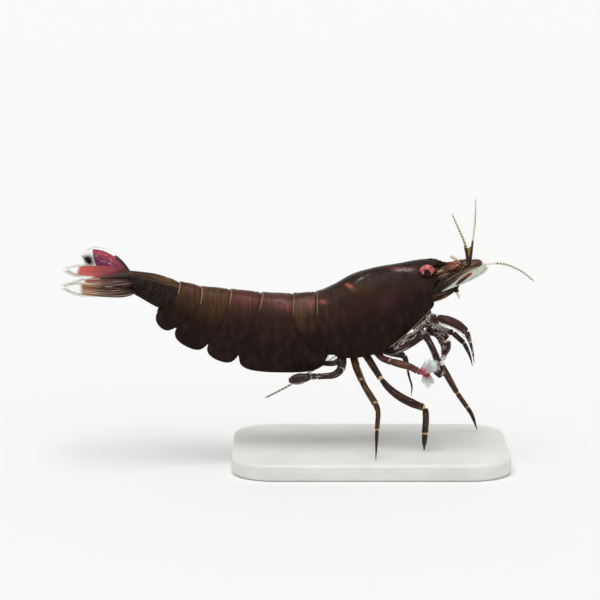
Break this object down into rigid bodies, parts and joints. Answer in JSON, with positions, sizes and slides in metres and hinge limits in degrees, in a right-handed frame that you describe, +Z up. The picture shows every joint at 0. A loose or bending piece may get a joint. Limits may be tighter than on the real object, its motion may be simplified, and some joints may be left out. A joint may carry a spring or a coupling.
{
  "type": "aquarium dwarf shrimp model",
  "caption": "Life-size still model of a dark brown freshwater dwarf shrimp with jointed legs, feelers and a spread tail fan, standing on a plain flat base.",
  "frame": {"origin": "on the floor under the middle of the whole model, at the underside of the base", "axes": "+X towards the shrimp's head, +Z up, the shrimp's right side faces -Y"},
  "size_m": [0.0332, 0.0136, 0.0192],
  "materials": {
    "shell": "wet dark brown shell with faint lengthwise grain and cream rims",
    "walking_leg": "dark brown with amber streaks and cream joints",
    "claw_leg": "pinkish brown, with white bristle brushes on the fingers",
    "mouth_limb": "purple brown with pale bristles",
    "head_limb": "dark brown, streaked, pale at the joints",
    "swimmeret": "thin translucent brown blade with pale fringe",
    "eye": "pink red faceted cornea with a dark centre",
    "scale": "pale green white blade with a red stripe",
    "feeler": "cream and olive rings",
    "tail_fan": "crimson and magenta blade with clear rim",
    "stand": "plain pale satin plate"
  },
  "bodies": {
    "root": {"carapace": "shell", "abdomen_1": "shell", "abdomen_2": "shell", "abdomen_3": "shell", "abdomen_4": "shell", "abdomen_5": "shell", "abdomen_6": "shell", "breast_plate": "shell", "mouthparts": "mouth_limb", "rostrum": "shell", "eye_right": "eye", "eyestalk_right": "shell", "antennule_base_right": "head_limb", "antenna_base_right": "head_limb", "antenna_scale_right": "scale", "swimmeret_1_right": "swimmeret", "swimmeret_2_right": "swimmeret", "swimmeret_3_right": "swimmeret", "swimmeret_4_right": "swimmeret", "swimmeret_5_right": "swimmeret", "eye_left": "eye", "eyestalk_left": "shell", "antennule_base_left": "head_limb", "antenna_base_left": "head_limb", "antenna_scale_left": "scale", "swimmeret_1_left": "swimmeret", "swimmeret_2_left": "swimmeret", "swimmeret_3_left": "swimmeret", "swimmeret_4_left": "swimmeret", "swimmeret_5_left": "swimmeret", "antennule_outer_right": "feeler", "antennule_inner_right": "feeler", "antennule_outer_left": "feeler", "antennule_inner_left": "feeler", "antenna_right": "feeler", "antenna_left_front": "feeler", "antenna_left_rear": "feeler", "claw_leg_1_right": "claw_leg", "claw_leg_2_right": "claw_leg", "claw_leg_1_left": "claw_leg", "claw_leg_2_left": "claw_leg", "maxilliped_right": "mouth_limb", "maxilliped_left": "mouth_limb", "walking_leg_3_right": "walking_leg", "walking_leg_4_right": "walking_leg", "walking_leg_5_right": "walking_leg", "walking_leg_3_left": "walking_leg", "walking_leg_4_left": "walking_leg", "walking_leg_5_left": "walking_leg", "telson": "tail_fan", "tail_fan_inner_left": "tail_fan", "tail_fan_outer_left": "tail_fan", "tail_fan_inner_right": "tail_fan", "tail_fan_outer_right": "tail_fan", "stand_base": "stand"}
  },
  "joints": []
}
